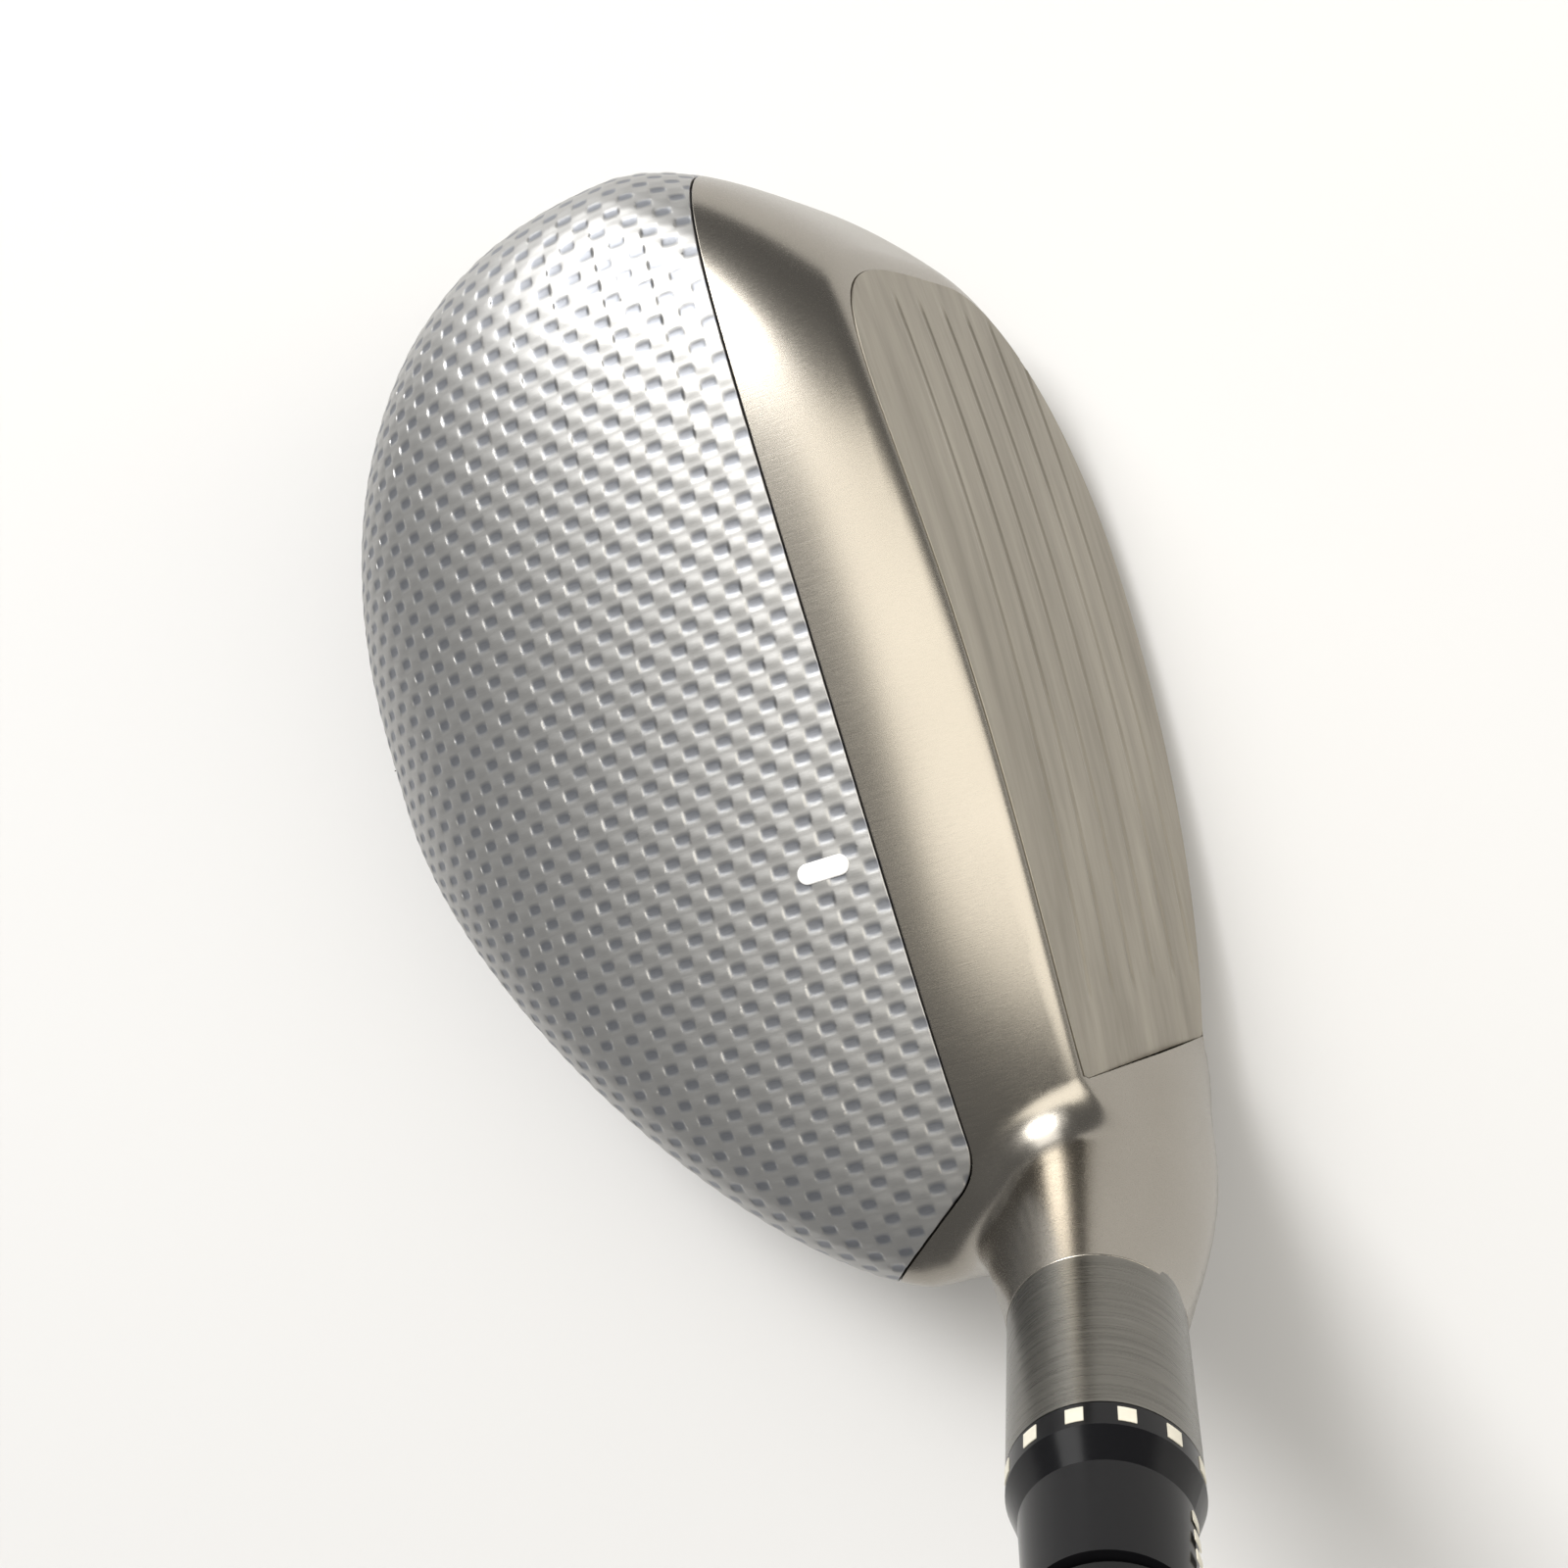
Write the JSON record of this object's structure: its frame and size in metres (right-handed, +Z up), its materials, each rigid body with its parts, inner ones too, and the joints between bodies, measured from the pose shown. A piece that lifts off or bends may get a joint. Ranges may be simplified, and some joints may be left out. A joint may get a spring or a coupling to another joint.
{
  "type": "hybrid golf club",
  "caption": "Left-handed hybrid golf club with a carbon crown, a steel face and body, an adjustable loft sleeve, a graphite shaft and a rubber grip.",
  "frame": {"origin": "middle of the flat patch of the sole that stands on the ground, in the plane of the hosel bore", "axes": "+Z up at address, +X the way the face looks, +Y from heel to toe; the shaft leans towards -Y"},
  "size_m": [0.0734, 0.6031, 0.8862],
  "materials": {
    "satin_steel": "satin",
    "milled_steel": "milled",
    "brushed_tube": "brushed",
    "carbon_weave": "clear-coated woven carbon",
    "adhesive": "matte",
    "white_paint": "gloss",
    "black_tpu": "matte",
    "bare_aluminium": "satin",
    "black_oxide": "black oxide",
    "black_nylon": "matte",
    "black_anodised": "gloss anodised",
    "cream_paint": "matte",
    "black_gloss": "gloss",
    "graphite": "satin lacquer",
    "cork": "raw",
    "silver_band": "satin",
    "tape_paper": "matte",
    "grip_rubber": "matte",
    "weight_steel": "satin"
  },
  "bodies": {
    "club": {"shaft": "graphite", "tip_plug": "cork", "shaft_band": "silver_band", "grip_tape": "tape_paper", "grip": "grip_rubber", "grip_cap": "grip_rubber", "shaft_bond": "adhesive", "ferrule": "black_gloss", "loft_sleeve": "black_anodised", "sleeve_ticks": "cream_paint", "sleeve_marks": "cream_paint"},
    "screw_seat": {"screw_washer": "bare_aluminium"},
    "screw": {"hosel_screw": "black_oxide", "retaining_clip": "black_nylon"},
    "head": {"head_body": "satin_steel", "face_plate": "milled_steel", "crown_panel": "carbon_weave", "crown_bond": "adhesive", "alignment_mark": "white_paint", "slot_plug": "black_tpu", "hosel_tube": "brushed_tube", "spline_insert": "bare_aluminium", "weight_port": "satin_steel"},
    "weight_seal": {"weight_o_ring": "black_tpu"},
    "weight": {"sole_weight": "weight_steel"}
  },
  "joints": [
    {"name": "head_travel", "type": "slide", "parent": "club", "child": "screw_seat", "axis": [0, 0.4848, -0.8746], "range_m": [0, 0.008]},
    {"name": "screw_turn", "type": "hinge", "parent": "screw_seat", "child": "screw", "pos_m": [0, -0.04643, 0.01574], "axis": [0, 0.4848, -0.8746], "range_deg": [0, 3600]},
    {"name": "head_index", "type": "hinge", "parent": "screw_seat", "child": "head", "pos_m": [0, -0.05709, 0.03498], "axis": [0, -0.4848, 0.8746], "continuous": true},
    {"name": "weight_travel", "type": "slide", "parent": "head", "child": "weight_seal", "axis": [-0.2924, 0, -0.9563], "range_m": [0, 0.008]},
    {"name": "weight_turn", "type": "hinge", "parent": "weight_seal", "child": "weight", "pos_m": [-0.038, 0, 0.0062], "axis": [-0.2924, 0, -0.9563], "range_deg": [0, 2880]}
  ],
  "couplings": [
    {"joint": "screw_turn", "follows": "head_travel", "rad_per_m": 7854},
    {"joint": "weight_turn", "follows": "weight_travel", "rad_per_m": 6283.2}
  ]
}
